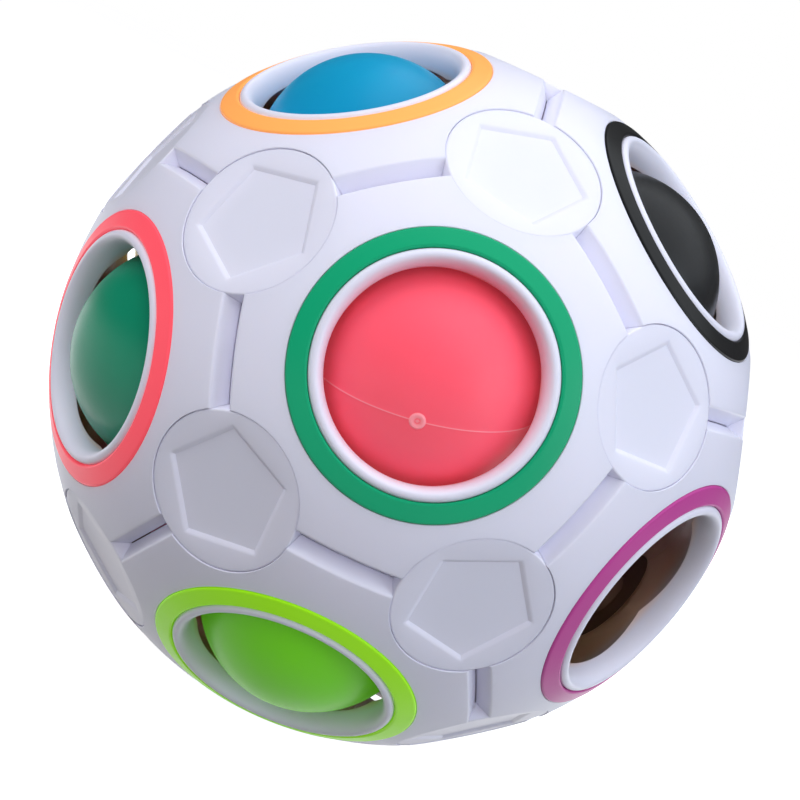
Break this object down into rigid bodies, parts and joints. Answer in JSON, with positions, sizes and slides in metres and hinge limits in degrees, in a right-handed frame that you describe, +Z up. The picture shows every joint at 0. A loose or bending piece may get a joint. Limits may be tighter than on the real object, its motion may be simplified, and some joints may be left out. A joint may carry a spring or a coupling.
{
  "type": "rainbow ball puzzle",
  "caption": "Hollow white ball puzzle with round holes in coloured rings, a loose coloured ball in every hole but one, and flat round corner caps.",
  "frame": {"origin": "centre of the ball, which is also the centre of its box", "axes": "+Z up, away from the flat cap that it stands on; +X points over the empty hole, whose axis dips 10.8 degrees below it"},
  "size_m": [0.0688, 0.069, 0.0674],
  "materials": {
    "shell_white": "white moulded ABS, light satin gloss",
    "inner_plastic": "plain moulded plastic",
    "screw_steel": "zinc plated steel",
    "ring_black": "coloured moulded plastic, light gloss",
    "ring_yellow": "coloured moulded plastic, light gloss",
    "ring_orange": "coloured moulded plastic, light gloss",
    "ring_blue": "coloured moulded plastic, light gloss",
    "ring_cyan": "coloured moulded plastic, light gloss",
    "ring_green": "coloured moulded plastic, light gloss",
    "ring_magenta": "coloured moulded plastic, light gloss",
    "ring_purple": "coloured moulded plastic, light gloss",
    "ring_red": "coloured moulded plastic, light gloss",
    "ring_pink": "coloured moulded plastic, light gloss",
    "ring_brown": "coloured moulded plastic, light gloss",
    "ring_lime": "coloured moulded plastic, light gloss",
    "ball_black": "coloured moulded plastic ball, light gloss",
    "ball_orange": "coloured moulded plastic ball, light gloss",
    "ball_cyan": "coloured moulded plastic ball, light gloss",
    "ball_purple": "coloured moulded plastic ball, light gloss",
    "ball_yellow": "coloured moulded plastic ball, light gloss",
    "ball_red": "coloured moulded plastic ball, light gloss",
    "ball_blue": "coloured moulded plastic ball, light gloss",
    "ball_green": "coloured moulded plastic ball, light gloss",
    "ball_brown": "coloured moulded plastic ball, light gloss",
    "ball_pink": "coloured moulded plastic ball, light gloss",
    "ball_lime": "coloured moulded plastic ball, light gloss"
  },
  "bodies": {
    "shell": {"panel_black": "shell_white", "panel_yellow": "shell_white", "panel_orange": "shell_white", "panel_blue": "shell_white", "panel_cyan": "shell_white", "panel_green": "shell_white", "panel_magenta": "shell_white", "panel_purple": "shell_white", "panel_red": "shell_white", "panel_pink": "shell_white", "panel_brown": "shell_white", "panel_lime": "shell_white", "ring_black": "ring_black", "ring_yellow": "ring_yellow", "ring_orange": "ring_orange", "ring_blue": "ring_blue", "ring_cyan": "ring_cyan", "ring_green": "ring_green", "ring_magenta": "ring_magenta", "ring_purple": "ring_purple", "ring_red": "ring_red", "ring_pink": "ring_pink", "ring_brown": "ring_brown", "ring_lime": "ring_lime", "cap_01": "shell_white", "cap_02": "shell_white", "cap_03": "shell_white", "cap_04": "shell_white", "cap_05": "shell_white", "cap_06": "shell_white", "cap_07": "shell_white", "cap_08": "shell_white", "cap_09": "shell_white", "cap_10": "shell_white", "cap_11": "shell_white", "cap_12": "shell_white", "cap_13": "shell_white", "cap_14": "shell_white", "cap_15": "shell_white", "cap_16": "shell_white", "cap_17": "shell_white", "cap_18": "shell_white", "cap_19": "shell_white", "cap_20": "shell_white", "corner_screws": "screw_steel", "corner_plates": "inner_plastic"},
    "ball_black": {"ball_black": "ball_black"},
    "ball_orange": {"ball_orange": "ball_orange"},
    "ball_cyan": {"ball_cyan": "ball_cyan"},
    "ball_purple": {"ball_purple": "ball_purple"},
    "ball_yellow": {"ball_yellow": "ball_yellow"},
    "ball_red": {"ball_red": "ball_red"},
    "ball_blue": {"ball_blue": "ball_blue"},
    "ball_green": {"ball_green": "ball_green"},
    "ball_brown": {"ball_brown": "ball_brown"},
    "ball_pink": {"ball_pink": "ball_pink"},
    "ball_lime": {"ball_lime": "ball_lime"},
    "core_ball": {"core_ball": "inner_plastic"}
  },
  "joints": [
    {"name": "ball_black_transfer", "type": "slide", "parent": "shell", "child": "ball_black", "axis": [-0.3568, 0, 0.9342], "range_m": [-0.02524, 0]},
    {"name": "ball_orange_press", "type": "slide", "parent": "shell", "child": "ball_orange", "axis": [0.3035, -0.5257, -0.7947], "range_m": [0, 0.003]},
    {"name": "ball_cyan_press", "type": "slide", "parent": "shell", "child": "ball_cyan", "axis": [0.3035, 0.5257, -0.7947], "range_m": [0, 0.003]},
    {"name": "ball_purple_press", "type": "slide", "parent": "shell", "child": "ball_purple", "axis": [-0.4911, -0.8507, -0.1876], "range_m": [0, 0.003]},
    {"name": "ball_yellow_press", "type": "slide", "parent": "shell", "child": "ball_yellow", "axis": [0.9822, 0, -0.1876], "range_m": [0, 0.003]},
    {"name": "ball_red_transfer", "type": "slide", "parent": "shell", "child": "ball_red", "axis": [0.4671, 0.809, -0.3568], "range_m": [0, 0.02524]},
    {"name": "ball_blue_press", "type": "slide", "parent": "shell", "child": "ball_blue", "axis": [0.4911, -0.8507, 0.1876], "range_m": [0, 0.003]},
    {"name": "ball_green_press", "type": "slide", "parent": "shell", "child": "ball_green", "axis": [0.4911, 0.8507, 0.1876], "range_m": [0, 0.003]},
    {"name": "ball_brown_press", "type": "slide", "parent": "shell", "child": "ball_brown", "axis": [-0.3035, -0.5257, 0.7947], "range_m": [0, 0.003]},
    {"name": "ball_pink_press", "type": "slide", "parent": "shell", "child": "ball_pink", "axis": [0.6071, 0, 0.7947], "range_m": [0, 0.003]},
    {"name": "ball_lime_press", "type": "slide", "parent": "shell", "child": "ball_lime", "axis": [-0.3035, 0.5257, 0.7947], "range_m": [0, 0.003]},
    {"name": "core_ball_drop", "type": "slide", "parent": "shell", "child": "core_ball", "axis": [0, 0, 1], "range_m": [-0.005, 0]}
  ]
}
